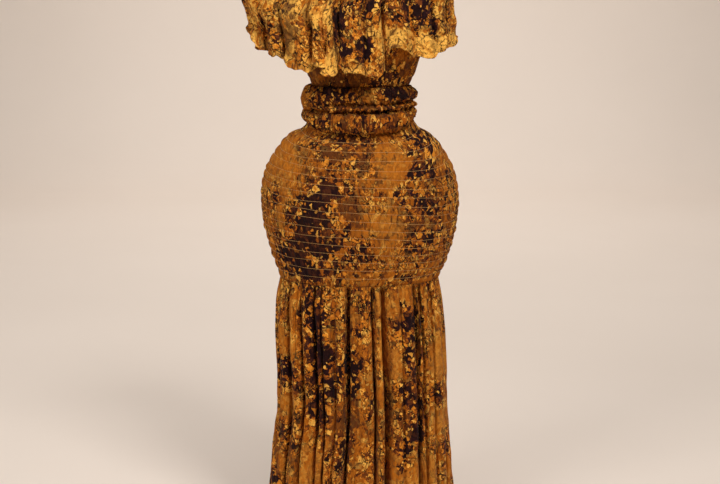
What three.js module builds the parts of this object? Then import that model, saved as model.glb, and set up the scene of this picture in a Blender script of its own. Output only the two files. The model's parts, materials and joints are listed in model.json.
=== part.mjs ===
// Off-shoulder maxi dress in printed cotton, in the hollow form it takes when worn: an elastic neck
// casing, a deep gathered flounce, a plain bodice with open armholes, a shirred body that bunches
// into rolls at the waist and stretches round over the hips, and a long gathered skirt.
// Millimetres, +Z up. The front faces -Y and the wearer's left is +X. The origin is the centre of
// the neck casing, where the wearer's upper chest and arms hold the dress up.
import * as THREE from "three";

const WALL = 2; // cloth with its seam allowances and stiff drape
const SEAM_GAP = 0.3; // between two pieces at a seam
const LEFT = -90; // degrees round the dress: -90 right arm, 0 front, 90 left arm, 180 back
const RIGHT = 90;

// Levels, from the neck down.
const CASING_HALF_HEIGHT = 8;
const CASING_THICKNESS = 7;
const CASING_GATHERS = 36;
const CASING_GATHER_DEPTH = 1.4;
const UNDERARM_Z = -122;
const BODICE_HEM_Z = -248;
const HIP_SEAM_Z = -700;
const SKIRT_HEM_Z = -1310;

// Shirring: rows of elastic thread between the waist and the hip seam.
const SHIRRING_ROWS = 18;
const SHIRRING_PUFF = 1.8;
const SHIRRING_TILT = 0.06; // the rows sink towards the wearer's left by this slope
const TUCKED_ROWS = 2; // over these rows the hip comes out from under the lowest roll

const mustard = new THREE.MeshStandardMaterial({ color: 0xa5601f, roughness: 0.92, metalness: 0 });
const ochre = new THREE.MeshStandardMaterial({ color: 0x8a4e1c, roughness: 0.92, metalness: 0 });
const gold = new THREE.MeshStandardMaterial({ color: 0xbc762c, roughness: 0.9, metalness: 0 });

// Sections: at z, half the width, the depth forward and back of the axis, and the sideways shift.
const NECK = { halfWidth: 205, frontDepth: 118, backDepth: 106, shift: -10 };
const BODICE = [
  { z: -8, halfWidth: 205, frontDepth: 118, backDepth: 106, shift: -10 },
  { z: -60, halfWidth: 176, frontDepth: 128, backDepth: 104, shift: -6 },
  { z: -122, halfWidth: 152, frontDepth: 132, backDepth: 102, shift: -3 },
  { z: -165, halfWidth: 143, frontDepth: 127, backDepth: 99, shift: -3 },
  { z: -205, halfWidth: 127, frontDepth: 112, backDepth: 95, shift: -2 },
  { z: -232, halfWidth: 119, frontDepth: 103, backDepth: 92, shift: -1 },
  { z: -248, halfWidth: 113, frontDepth: 95, backDepth: 88, shift: -2 },
];
const HIPS = [
  { z: -310, halfWidth: 121, frontDepth: 96, backDepth: 98, shift: -3 },
  { z: -332, halfWidth: 136, frontDepth: 104, backDepth: 106, shift: -3 },
  { z: -358, halfWidth: 162, frontDepth: 117, backDepth: 124, shift: -3 },
  { z: -396, halfWidth: 193, frontDepth: 134, backDepth: 146, shift: -3 },
  { z: -434, halfWidth: 215, frontDepth: 146, backDepth: 162, shift: -4 },
  { z: -472, halfWidth: 227, frontDepth: 153, backDepth: 173, shift: -4 },
  { z: -515, halfWidth: 231.5, frontDepth: 157, backDepth: 178, shift: -3 },
  { z: -560, halfWidth: 228, frontDepth: 156, backDepth: 174, shift: -3 },
  { z: -605, halfWidth: 219, frontDepth: 151, backDepth: 165, shift: -2 },
  { z: -650, halfWidth: 205, frontDepth: 143, backDepth: 153, shift: -2 },
  { z: -682, halfWidth: 192, frontDepth: 137, backDepth: 145, shift: -3 },
  { z: -700, halfWidth: 187, frontDepth: 134, backDepth: 142, shift: -5 },
];
const SKIRT = [
  { z: -700, halfWidth: 187, frontDepth: 134, backDepth: 142, shift: -5 },
  { z: -760, halfWidth: 198, frontDepth: 144, backDepth: 153, shift: -5 },
  { z: -860, halfWidth: 203, frontDepth: 150, backDepth: 160, shift: -1 },
  { z: -1006, halfWidth: 204, frontDepth: 154, backDepth: 166, shift: 3 },
  { z: -1106, halfWidth: 213, frontDepth: 159, backDepth: 172, shift: 1 },
  { z: -1215, halfWidth: 222, frontDepth: 165, backDepth: 179, shift: 0 },
  { z: -1310, halfWidth: 229, frontDepth: 170, backDepth: 185, shift: 0 },
];
// The flounce's sections run by drop, the share of its length from the casing down to its hem.
const FLOUNCE = [
  { drop: 0, halfWidth: 205, frontDepth: 118, backDepth: 106, shift: -10 },
  { drop: 0.12, halfWidth: 229, frontDepth: 138, backDepth: 122, shift: -18 },
  { drop: 0.35, halfWidth: 243, frontDepth: 158, backDepth: 140, shift: -31 },
  { drop: 0.65, halfWidth: 238, frontDepth: 164, backDepth: 146, shift: -24 },
  { drop: 1, halfWidth: 235, frontDepth: 164, backDepth: 150, shift: -20 },
];
// The flounce's hem, round the dress: it is lifted over the arms and hangs lowest in front.
const FLOUNCE_HEM = [
  { angle: -90, z: -122 },
  { angle: -70, z: -146 },
  { angle: -57, z: -172 },
  { angle: -44, z: -200 },
  { angle: -22, z: -208 },
  { angle: 0, z: -218 },
  { angle: 14, z: -222 },
  { angle: 21, z: -176 },
  { angle: 30, z: -166 },
  { angle: 47, z: -188 },
  { angle: 62, z: -170 },
  { angle: 90, z: -128 },
  { angle: 118, z: -172 },
  { angle: 150, z: -204 },
  { angle: 182, z: -212 },
  { angle: 215, z: -202 },
  { angle: 245, z: -166 },
  { angle: 270, z: -122 },
];
// Waist rolls: the level of each crest and crease at the right side, front, left side and back,
// with its half width and its depths forward and back.
const WAIST = [
  { right: -248, front: -248, left: -248, back: -248, halfWidth: 113, frontDepth: 95, backDepth: 88 },
  { right: -256, front: -253, left: -254, back: -254, halfWidth: 125, frontDepth: 108, backDepth: 98 },
  { right: -273, front: -266, left: -266, back: -268, halfWidth: 132, frontDepth: 116, backDepth: 106 },
  { right: -288, front: -278, left: -277, back: -280, halfWidth: 133, frontDepth: 114, backDepth: 104 },
  { right: -295, front: -286, left: -284, back: -288, halfWidth: 127, frontDepth: 105, backDepth: 98 },
  { right: -299, front: -295, left: -292, back: -296, halfWidth: 130, frontDepth: 113, backDepth: 105 },
  { right: -303, front: -305, left: -300, back: -304, halfWidth: 125, frontDepth: 107, backDepth: 100 },
  { right: -308, front: -314, left: -305, back: -311, halfWidth: 130, frontDepth: 119, backDepth: 108 },
  { right: -316, front: -330, left: -310, back: -320, halfWidth: 131, frontDepth: 124, backDepth: 112 },
  { right: -324, front: -346, left: -315, back: -330, halfWidth: 129, frontDepth: 120, backDepth: 110 },
  { right: -330, front: -354, left: -320, back: -337, halfWidth: 125, frontDepth: 111, backDepth: 104 },
];
const WAIST_SHIFT = -5;

// Folds: the angle of each valley at the top and at the hem, and its depth at the hem.
const SKIRT_FRONT_FOLDS = [
  { top: -68, hem: -72, depth: 22 },
  { top: -49, hem: -44, depth: 30 },
  { top: -35, hem: -26, depth: 26 },
  { top: -21, hem: -15, depth: 28 },
  { top: -4, hem: -4, depth: 14 },
  { top: 10, hem: 10.5, depth: 32 },
  { top: 19, hem: 18, depth: 26 },
  { top: 30, hem: 27, depth: 14 },
  { top: 45, hem: 42, depth: 30 },
  { top: 57, hem: 53, depth: 18 },
  { top: 73, hem: 71, depth: 20 },
];
const SKIRT_BACK_FOLDS = [
  { top: 107, hem: 110, depth: 20 },
  { top: 121, hem: 126, depth: 26 },
  { top: 137, hem: 139, depth: 28 },
  { top: 151, hem: 155, depth: 22 },
  { top: 168, hem: 166, depth: 30 },
  { top: 181, hem: 183, depth: 20 },
  { top: 196, hem: 199, depth: 30 },
  { top: 211, hem: 212, depth: 24 },
  { top: 226, hem: 228, depth: 28 },
  { top: 240, hem: 245, depth: 22 },
  { top: 255, hem: 257, depth: 20 },
];
const FLOUNCE_FRONT_FOLDS = [
  { top: -76, hem: -74, depth: 16 },
  { top: -58, hem: -57, depth: 20 },
  { top: -40, hem: -42, depth: 24 },
  { top: -22, hem: -22, depth: 30 },
  { top: -12, hem: -12, depth: 18 },
  { top: -4, hem: -5.5, depth: 28 },
  { top: 8, hem: 7, depth: 16 },
  { top: 20, hem: 18.5, depth: 34 },
  { top: 36, hem: 36, depth: 12 },
  { top: 52, hem: 51, depth: 12 },
  { top: 71, hem: 69, depth: 22 },
];
const FLOUNCE_BACK_FOLDS = [
  { top: 106, hem: 107, depth: 18 },
  { top: 121, hem: 120, depth: 22 },
  { top: 134, hem: 136, depth: 26 },
  { top: 149, hem: 151, depth: 28 },
  { top: 164, hem: 162, depth: 20 },
  { top: 177, hem: 178, depth: 30 },
  { top: 192, hem: 194, depth: 20 },
  { top: 207, hem: 208, depth: 28 },
  { top: 223, hem: 222, depth: 24 },
  { top: 239, hem: 238, depth: 20 },
  { top: 254, hem: 255, depth: 16 },
];
// Where the vertices stand across a ridge, from one valley to the next.
const RIDGE_STATIONS = [0, 0.12, 0.5, 0.88];
const SKIRT_LEVELS = [-700, -726, -770, -850, -960, -1090, -1210, -1310];
const SKIRT_GATHER_SHARE = 0.16; // of the depth that a fold has already at the hip seam
const FLOUNCE_DROPS = [0, 0.12, 0.3, 0.52, 0.76, 1];
const FLOUNCE_GATHER_SHARE = 0.2;
const FLOUNCE_SCALLOP = 0.35; // a valley's hem rises by this share of its depth

const radians = (degrees) => (degrees * Math.PI) / 180;
const mix = (a, b, share) => a + (b - a) * share;
const ease = (share) => {
  const t = Math.min(1, Math.max(0, share));
  return t * t * (3 - 2 * t);
};

// The value of one column of a table at `place`, on a smooth curve through its rows.
function along(table, by, place, column) {
  const rising = table[1][by] > table[0][by];
  let k = table.findIndex((row) => (rising ? row[by] >= place : row[by] <= place));
  k = k < 0 ? table.length - 1 : Math.max(k, 1);
  const rows = [table[Math.max(k - 2, 0)], table[k - 1], table[k], table[Math.min(k + 1, table.length - 1)]];
  const [before, from, to, after] = rows;
  const span = to[by] - from[by];
  const slopeFrom = ((to[column] - before[column]) / (to[by] - before[by] || 1)) * span;
  const slopeTo = ((after[column] - from[column]) / (after[by] - from[by] || 1)) * span;
  const t = Math.min(1, Math.max(0, (place - from[by]) / span));
  return (
    from[column] * (2 * t ** 3 - 3 * t ** 2 + 1) +
    slopeFrom * (t ** 3 - 2 * t ** 2 + t) +
    to[column] * (3 * t ** 2 - 2 * t ** 3) +
    slopeTo * (t ** 3 - t ** 2)
  );
}

function section(table, by, place) {
  const found = {};
  for (const column of ["halfWidth", "frontDepth", "backDepth", "shift"]) {
    found[column] = along(table, by, place, column);
  }
  return found;
}

// A point on a section at an angle round the dress, moved out along the section's radius.
function onSection(shape, angle, z, out = 0) {
  const turn = radians(angle);
  const depth = Math.cos(turn) > 0 ? shape.frontDepth : shape.backDepth;
  return new THREE.Vector3(
    shape.shift + (shape.halfWidth + out) * Math.sin(turn),
    -(depth + out) * Math.cos(turn),
    z,
  );
}

// A level that is given at the two sides, the front and the back, at any angle between them.
function levelAt(row, angle) {
  const quarter = (((angle + 90) % 360) + 360) % 360;
  const stops = [row.right, row.front, row.left, row.back, row.right];
  const k = Math.min(3, Math.floor(quarter / 90));
  return mix(stops[k], stops[k + 1], ease(quarter / 90 - k));
}

// Angles of the vertices across a panel of folds, each with its fold's depth there. The depth is
// nothing on the side seams and on the ridges, and whole in the valleys.
function foldStations(folds, from, to, share) {
  const valleys = folds.map((fold) => ({ angle: mix(fold.top, fold.hem, share), depth: fold.depth }));
  const edges = [
    { angle: 2 * from - valleys[0].angle, depth: 0 },
    ...valleys,
    { angle: 2 * to - valleys[valleys.length - 1].angle, depth: 0 },
  ];
  const stations = [];
  for (let k = 0; k + 1 < edges.length; k++) {
    for (const t of RIDGE_STATIONS) {
      const depth = (t < 0.5 ? edges[k] : edges[k + 1]).depth;
      const angle = mix(edges[k].angle, edges[k + 1].angle, t);
      if (angle >= from - 1e-6) stations.push({ angle, depth: depth * Math.abs(2 * t - 1) ** 3 });
    }
  }
  return [...stations.filter((station) => station.angle < to - 1e-6), { angle: to, depth: 0 }];
}

// The inner face of a wall: each point of a grid moved in by the cloth's thickness. On the side
// seams, and along the top and the hem, it moves only in the seam's own plane.
function offsetInwards(grid, thickness) {
  return grid.map((row, j) =>
    row.map((point, i) => {
      const across = row[Math.min(i + 1, row.length - 1)].clone().sub(row[Math.max(i - 1, 0)]);
      const lower = grid[Math.min(j + 1, grid.length - 1)][i];
      const down = lower.clone().sub(grid[Math.max(j - 1, 0)][i]);
      const normal = across.cross(down);
      if (i === 0 || i === row.length - 1) normal.y = 0;
      if (j === 0 || j === grid.length - 1) normal.z = 0;
      normal.normalize();
      return point.clone().addScaledVector(normal, thickness);
    }),
  );
}

// Triangles between two lines of vertices that may have different counts, with the shorter
// diagonal each time.
function zip(points, triangles, a, b) {
  let i = 0;
  let j = 0;
  while (i < a.length - 1 || j < b.length - 1) {
    const reachA = i < a.length - 1 ? points[a[i + 1]].distanceTo(points[b[j]]) : Infinity;
    const reachB = j < b.length - 1 ? points[a[i]].distanceTo(points[b[j + 1]]) : Infinity;
    if (reachA <= reachB) triangles.push([a[i], a[++i], b[j]]);
    else triangles.push([a[i], b[j + 1], b[j++]]);
  }
}

function signedVolume(points, triangles) {
  return triangles.reduce((sum, [a, b, c]) => {
    return sum + points[a].dot(points[b].clone().cross(points[c])) / 6;
  }, 0);
}

// A closed mesh from an outer and an inner grid of points, [row][column], with the same columns.
// An open panel gets a rim along each side; a ring closes on itself.
function wallMesh(name, outer, inner, material, ring = false) {
  const points = [];
  const number = (grid) => grid.map((row) => row.map((point) => points.push(point) - 1));
  const faces = [number(outer), number(inner)];
  const triangles = [];
  const columns = outer[0].length;
  faces.forEach((ids, side) => {
    for (let j = 0; j + 1 < ids.length; j++) {
      for (let i = 0; i + 1 < columns + (ring ? 1 : 0); i++) {
        const next = (i + 1) % columns;
        const halves = [
          [ids[j][i], ids[j][next], ids[j + 1][next]],
          [ids[j][i], ids[j + 1][next], ids[j + 1][i]],
        ];
        triangles.push(...(side ? halves.map((half) => half.reverse()) : halves));
      }
    }
  });
  const [out, into] = faces;
  const closed = (line) => (ring ? [...line, line[0]] : line);
  zip(points, triangles, closed(into[0]), closed(out[0]));
  zip(points, triangles, closed(out[out.length - 1]), closed(into[into.length - 1]));
  if (!ring) {
    const column = (ids, i) => ids.map((row) => row[i]);
    zip(points, triangles, column(out, 0), column(into, 0));
    zip(points, triangles, column(into, columns - 1), column(out, columns - 1));
  }
  if (signedVolume(points, triangles) < 0) triangles.forEach((triangle) => triangle.reverse());
  const geometry = new THREE.BufferGeometry().setFromPoints(points);
  geometry.setIndex(triangles.flat());
  geometry.computeVertexNormals();
  const mesh = new THREE.Mesh(geometry, material);
  mesh.name = name;
  return mesh;
}

// A front panel stands half a gap forward of the side seams, and a back panel half a gap behind.
function partAtSideSeams(mesh, isFront) {
  mesh.position.y = isFront ? -SEAM_GAP / 2 : SEAM_GAP / 2;
  return mesh;
}

const spread = (from, to, count) => Array.from({ length: count + 1 }, (_, i) => mix(from, to, i / count));

// The elastic casing: a flat band on edge, crinkled outside by its gathers.
function neckCasing() {
  const columns = CASING_GATHERS * 2;
  const corners = [
    { out: 0, z: -CASING_HALF_HEIGHT },
    { out: 0.8, z: 0 },
    { out: 0, z: CASING_HALF_HEIGHT },
  ];
  const angles = spread(LEFT, LEFT + 360, columns).slice(0, columns);
  const outer = corners.map((corner) =>
    angles.map((angle, i) => onSection(NECK, angle, corner.z, corner.out - (i % 2) * CASING_GATHER_DEPTH)),
  );
  const inner = [-CASING_HALF_HEIGHT, CASING_HALF_HEIGHT].map((z) =>
    angles.map((angle) => onSection(NECK, angle, z, -CASING_THICKNESS)),
  );
  return wallMesh("neck_casing", outer, inner, ochre, true);
}

function flouncePanel(name, folds, from, to) {
  const top = -CASING_HALF_HEIGHT - SEAM_GAP;
  const outer = FLOUNCE_DROPS.map((drop) => {
    const shape = section(FLOUNCE, "drop", drop);
    const growth = mix(FLOUNCE_GATHER_SHARE, 1, ease(drop));
    return foldStations(folds, from, to, drop).map(({ angle, depth }) => {
      const hem = along(FLOUNCE_HEM, "angle", angle, "z") + depth * FLOUNCE_SCALLOP;
      const clear = CASING_GATHER_DEPTH * (1 - ease(drop)); // stands under the crinkled band
      return onSection(shape, angle, mix(top, hem, drop), -depth * growth * ease(drop * 6) - clear);
    });
  });
  return wallMesh(name, outer, offsetInwards(outer, WALL), gold);
}

// The bodice narrows above the underarm to leave an armhole at each side.
function bodicePanel(name, middle) {
  const levels = [-CASING_HALF_HEIGHT - SEAM_GAP, -45, -85, UNDERARM_Z, -165, -205, -232, BODICE_HEM_Z + SEAM_GAP];
  const casingReach = 43;
  const columns = spread(-1, 1, 18);
  const outer = levels.map((z) => {
    const shape = section(BODICE, "z", z);
    const rise = Math.max(0, (z - UNDERARM_Z) / (levels[0] - UNDERARM_Z));
    const reach = mix(90, casingReach, Math.sqrt(rise));
    const inset = -(WALL + 2) * ease(rise * 3); // its top hangs behind the flounce's
    return columns.map((share) => onSection(shape, middle + share * reach, z, inset));
  });
  return wallMesh(name, outer, offsetInwards(outer, WALL), mustard);
}

// One side of the shirred body: the waist rolls, then rows of shirring with a puff between rows.
function bodyPanel(name, from, to) {
  const angles = spread(from, to, 22);
  const lowestRoll = WAIST[WAIST.length - 1];
  const rolls = WAIST.map((row) => angles.map((angle) => onSection({ ...row, shift: WAIST_SHIFT }, angle, levelAt(row, angle))));
  const hipRing = (share, out) =>
    angles.map((angle) => {
      const tuck = levelAt(lowestRoll, angle);
      const flat = mix(tuck, HIP_SEAM_Z, share);
      const lean = SHIRRING_TILT * section(HIPS, "z", flat).halfWidth * Math.sin(radians(angle));
      const z = flat - lean * Math.sin(Math.PI * share);
      const shape = section(HIPS, "z", z);
      const under = ease((share * SHIRRING_ROWS) / TUCKED_ROWS);
      for (const column of ["halfWidth", "frontDepth", "backDepth"]) {
        shape[column] = mix(lowestRoll[column], shape[column], under);
      }
      return onSection(shape, angle, z, out);
    });
  const rows = spread(0, SHIRRING_ROWS, SHIRRING_ROWS * 2).slice(1);
  const outerHips = rows.map((row) => hipRing(row / SHIRRING_ROWS, row % 1 ? SHIRRING_PUFF : 0));
  const plainRows = rows.filter((row) => row % 1 === 0 || row < TUCKED_ROWS);
  const innerHips = plainRows.map((row) => hipRing(row / SHIRRING_ROWS, 0));
  const outer = [...rolls, ...outerHips];
  return wallMesh(name, outer, offsetInwards([...rolls, ...innerHips], WALL), ochre);
}

function skirtPanel(name, folds, from, to) {
  const length = SKIRT_LEVELS[0] - SKIRT_HEM_Z;
  const outer = SKIRT_LEVELS.map((level) => {
    const share = (SKIRT_LEVELS[0] - level) / length;
    const shape = section(SKIRT, "z", level);
    const growth = mix(SKIRT_GATHER_SHARE, 1, ease(share * 3));
    const z = level === SKIRT_LEVELS[0] ? level - SEAM_GAP : level;
    return foldStations(folds, from, to, share).map(({ angle, depth }) =>
      onSection(shape, angle, z, -depth * growth),
    );
  });
  return wallMesh(name, outer, offsetInwards(outer, WALL), mustard);
}

const dress = new THREE.Group();
dress.add(
  neckCasing(),
  partAtSideSeams(flouncePanel("flounce_front", FLOUNCE_FRONT_FOLDS, LEFT, RIGHT), true),
  partAtSideSeams(flouncePanel("flounce_back", FLOUNCE_BACK_FOLDS, RIGHT, LEFT + 360), false),
  partAtSideSeams(bodicePanel("bodice_front", 0), true),
  partAtSideSeams(bodicePanel("bodice_back", 180), false),
  partAtSideSeams(bodyPanel("body_front", LEFT, RIGHT), true),
  partAtSideSeams(bodyPanel("body_back", RIGHT, LEFT + 360), false),
  partAtSideSeams(skirtPanel("skirt_front", SKIRT_FRONT_FOLDS, LEFT, RIGHT), true),
  partAtSideSeams(skirtPanel("skirt_back", SKIRT_BACK_FOLDS, RIGHT, LEFT + 360), false),
);

export default dress;
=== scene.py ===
import json
import math
from collections import namedtuple

import bpy
import numpy as np
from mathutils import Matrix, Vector

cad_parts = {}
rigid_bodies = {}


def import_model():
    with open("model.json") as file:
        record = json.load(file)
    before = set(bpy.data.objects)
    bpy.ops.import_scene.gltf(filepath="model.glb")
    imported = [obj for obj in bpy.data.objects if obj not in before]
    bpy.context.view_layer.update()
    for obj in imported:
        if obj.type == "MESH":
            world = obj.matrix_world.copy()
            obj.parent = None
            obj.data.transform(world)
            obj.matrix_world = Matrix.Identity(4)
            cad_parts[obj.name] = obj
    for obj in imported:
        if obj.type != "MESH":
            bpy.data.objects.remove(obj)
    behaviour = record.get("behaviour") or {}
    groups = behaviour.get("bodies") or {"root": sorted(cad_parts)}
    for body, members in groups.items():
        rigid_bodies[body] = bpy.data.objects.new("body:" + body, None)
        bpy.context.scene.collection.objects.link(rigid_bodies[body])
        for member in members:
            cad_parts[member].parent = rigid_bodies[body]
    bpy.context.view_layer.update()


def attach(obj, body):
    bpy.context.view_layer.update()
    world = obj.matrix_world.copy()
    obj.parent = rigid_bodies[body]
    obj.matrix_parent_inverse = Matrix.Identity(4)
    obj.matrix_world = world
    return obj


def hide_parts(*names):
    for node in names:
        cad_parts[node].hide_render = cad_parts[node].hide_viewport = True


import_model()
for loaded in bpy.data.objects:
    loaded.select_set(False)

# ---- The studio: camera, sweep and lights -------------------------------------------------------
# A camera at chest height looks a little down at the dress, which hangs just clear of a warm pale
# paper sweep. A wide soft light stands high to the front right, with a weaker one on the left, and
# the washes light the paper behind the dress evenly.
FLOOR = -1.335
CAMERA_AT = (-0.003, -3.6, 0.035)
CAMERA_PITCH = math.radians(10.3)
camera_data = bpy.data.cameras.new("camera")
camera_data.sensor_width = 36
camera_data.lens = 77.4
camera = bpy.data.objects.new("camera", camera_data)
camera.location = CAMERA_AT
camera.rotation_euler = (math.pi / 2 - CAMERA_PITCH, 0, 0)
bpy.context.collection.objects.link(camera)
bpy.context.scene.camera = camera
bpy.context.scene.view_settings.view_transform = "Standard"


def add(tree, kind, inputs=None, **settings):
    """A shader node with its settings, and its inputs as values or as other nodes' outputs."""
    made = tree.nodes.new(kind)
    for name, value in settings.items():
        setattr(made, name, value)
    for socket, value in (inputs or {}).items():
        if isinstance(value, bpy.types.NodeSocket):
            tree.links.new(value, made.inputs[socket])
        else:
            made.inputs[socket].default_value = value
    return made


def blank_material(name):
    """A new material, its node tree and its Principled shader."""
    material = bpy.data.materials.new(name)
    material.use_nodes = True
    return material, material.node_tree, material.node_tree.nodes["Principled BSDF"]


def mesh_object(name, points, faces, material):
    """A smooth mesh object at the origin from points in metres."""
    mesh = bpy.data.meshes.new(name)
    mesh.from_pydata([tuple(point) for point in points], [], [tuple(face) for face in faces])
    mesh.polygons.foreach_set("use_smooth", [True] * len(mesh.polygons))
    mesh.materials.append(material)
    piece = bpy.data.objects.new(name, mesh)
    bpy.context.collection.objects.link(piece)
    return piece


paper, tree, shader = blank_material("sweep_paper")
place = add(tree, "ShaderNodeTexCoord").outputs["Object"]
mottle = add(tree, "ShaderNodeTexNoise", {"Vector": place, "Scale": 1.1, "Detail": 3.0})
PAPER_TONES = {6: (0.775, 0.662, 0.566, 1), 7: (0.815, 0.702, 0.606, 1)}
tone = add(tree, "ShaderNodeMix", {0: mottle.outputs[0], **PAPER_TONES}, data_type="RGBA")
tree.links.new(tone.outputs[2], shader.inputs["Base Color"])
shader.inputs["Roughness"].default_value = 0.95
shader.inputs["Specular IOR Level"].default_value = 0.1

SWEEP_START = 5.5
SWEEP_RADIUS = 1.6
SWEEP_STEPS = 12
SWEEP_NEAR_END = -16.0
SWEEP_TOP = 6.0
SWEEP_HALF_WIDTH = 12.0
profile = [(SWEEP_NEAR_END, FLOOR), (SWEEP_START, FLOOR)]
for step in range(1, SWEEP_STEPS + 1):
    turn = math.radians(90 * step / SWEEP_STEPS)
    ahead, up = SWEEP_RADIUS * math.sin(turn), SWEEP_RADIUS * (1 - math.cos(turn))
    profile.append((SWEEP_START + ahead, FLOOR + up))
profile.append((SWEEP_START + SWEEP_RADIUS, SWEEP_TOP))
sweep_points = [(x, y, z) for y, z in profile for x in (-SWEEP_HALF_WIDTH, SWEEP_HALF_WIDTH)]
sweep_faces = [(2 * k, 2 * k + 1, 2 * k + 3, 2 * k + 2) for k in range(len(profile) - 1)]
sweep = mesh_object("sweep", sweep_points, sweep_faces, paper)

world = bpy.data.worlds.new("studio")
world.use_nodes = True
world.node_tree.nodes["Background"].inputs[0].default_value = (1.0, 0.985, 0.965, 1)
world.node_tree.nodes["Background"].inputs[1].default_value = 0.16
bpy.context.scene.world = world

SoftBox = namedtuple("SoftBox", "name place aim size power")
for box in [
    SoftBox("key", (1.5, -2.9, 2.7), (0, 0, -0.4), 1.2, 114),
    SoftBox("fill", (-2.2, -2.8, 1.8), (0, 0, -0.4), 1.5, 58),
    SoftBox("top", (0.1, -0.7, 1.9), (0, 0, -0.1), 0.8, 10),
    SoftBox("floor_wash", (0.0, 2.9, 3.8), (0.0, 3.5, -1.3), 4.0, 90),
    SoftBox("back_wash", (0.0, 4.9, 2.8), (0.0, 6.4, -1.0), 2.5, 76),
    SoftBox("shadow_wash", (-0.85, 1.0, 0.7), (-0.68, 0.75, -1.3), 0.9, 4),
]:
    light_data = bpy.data.lights.new(box.name, "AREA")
    light_data.shape = "SQUARE"
    light_data.size = box.size
    light_data.energy = box.power
    light = bpy.data.objects.new(box.name, light_data)
    light.location = box.place
    light.rotation_euler = (Vector(box.aim) - Vector(box.place)).to_track_quat("-Z", "Y").to_euler()
    bpy.context.collection.objects.link(light)

# ---- The printed cotton -------------------------------------------------------------------------
# Every panel is cut from one light plain-woven cotton, resist-dyed in layers: a gold ground, soft
# brown veils, ragged dark plum patches, and clusters of bright chips where the resist cracked.
# Painted shade is laid on through the brown veils: along the creases, and on the bodice under the
# flounce.


def rgb(red, green, blue):
    """A colour given as it looks on a screen, 0 to 255, as the shader wants it."""
    linear = lambda c: c / 255 / 12.92 if c <= 10 else ((c / 255 + 0.055) / 1.055) ** 2.4
    return linear(red), linear(green), linear(blue), 1


DYE_DEPTHS = [
    (0.00, rgb(200, 118, 30)),
    (0.30, rgb(186, 104, 24)),
    (0.42, rgb(172, 93, 18)),
    (0.49, rgb(150, 79, 16)),
    (0.54, rgb(118, 60, 16)),
    (0.57, rgb(92, 46, 18)),
    (0.60, rgb(74, 34, 20)),
    (0.62, rgb(58, 25, 25)),
    (0.90, rgb(36, 12, 15)),
]
BRIGHT = rgb(255, 188, 82)
CHIP_TONES = [
    (0.25, rgb(112, 56, 20)),
    (0.55, rgb(182, 98, 24)),
    (0.80, rgb(226, 138, 40)),
    (1.0, rgb(255, 184, 78)),
]
DARK_MARK = rgb(32, 12, 11)
STROKE = rgb(70, 34, 16)
BROWN = rgb(86, 42, 20)
# how many broken pieces there are in a metre of the print, from the largest to the smallest
SHARDS, PATCHES, CHIPS, CRUMBS = 27, 60, 118, 215
THREADS_A_METRE = 2600


def new_group(name, inputs, outputs):
    """An empty shader node group, with its inputs and outputs given as {name: socket kind}."""
    group = bpy.data.node_groups.new(name, "ShaderNodeTree")
    for socket, kind in inputs.items():
        group.interface.new_socket(name=socket, in_out="INPUT", socket_type=kind)
    for socket, kind in outputs.items():
        group.interface.new_socket(name=socket, in_out="OUTPUT", socket_type=kind)
    return group, group.nodes.new("NodeGroupInput").outputs, group.nodes.new("NodeGroupOutput")


def sum_of(tree, start, *terms):
    """start and the sum of (value, weight) pairs."""
    total = start
    for value, weight in terms:
        inputs = {0: value, 1: weight, 2: total}
        total = add(tree, "ShaderNodeMath", inputs, operation="MULTIPLY_ADD").outputs[0]
    return total


def between(tree, value, low, high):
    """0 where value is under low, 1 where it is over high, and smooth between."""
    return add(tree, "ShaderNodeMapRange", {"Value": value, "From Min": low, "From Max": high},
               interpolation_type="SMOOTHSTEP").outputs[0]


def times(tree, *values):
    """The product of the values."""
    total = values[0]
    for value in values[1:]:
        total = add(tree, "ShaderNodeMath", {0: total, 1: value}, operation="MULTIPLY").outputs[0]
    return total


def blend(tree, mask, under, over):
    """over painted on under where the mask is 1."""
    return add(tree, "ShaderNodeMix", {0: mask, 6: under, 7: over}, data_type="RGBA").outputs[2]


def noise(tree, place, scale, detail=2.0, roughness=0.5):
    """Smooth cloudy noise, averaging 0.5."""
    settings = {"Vector": place, "Scale": scale, "Detail": detail, "Roughness": roughness}
    return add(tree, "ShaderNodeTexNoise", settings).outputs[0]


def vector_math(tree, operation, *values):
    """A sum on vectors."""
    return add(tree, "ShaderNodeVectorMath", dict(enumerate(values)), operation=operation).outputs[0]


def warp(tree, place, scale, reach):
    """The place, moved about by up to the reach."""
    settings = {"Vector": place, "Scale": scale, "Detail": 2.0, "Roughness": 0.6}
    wander = add(tree, "ShaderNodeTexNoise", settings).outputs["Color"]
    wander = vector_math(tree, "SUBTRACT", wander, (0.5,) * 3)
    return vector_math(tree, "MULTIPLY_ADD", wander, (2 * reach,) * 3, place)


Cells = namedtuple("Cells", "luck luck_2 luck_3 middle edge")


def broken(tree, place, scale):
    """A pattern of broken pieces: three random values and the middle of each piece, and how far a
    place is from its piece's edge."""
    inputs = {"Vector": place, "Scale": scale}
    near, edge = (
        add(tree, "ShaderNodeTexVoronoi", inputs, voronoi_dimensions="2D", feature=feature)
        for feature in ("F1", "DISTANCE_TO_EDGE")
    )
    split = add(tree, "ShaderNodeSeparateColor", {0: near.outputs["Color"]})
    return Cells(*split.outputs, near.outputs["Position"], edge.outputs["Distance"])


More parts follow.
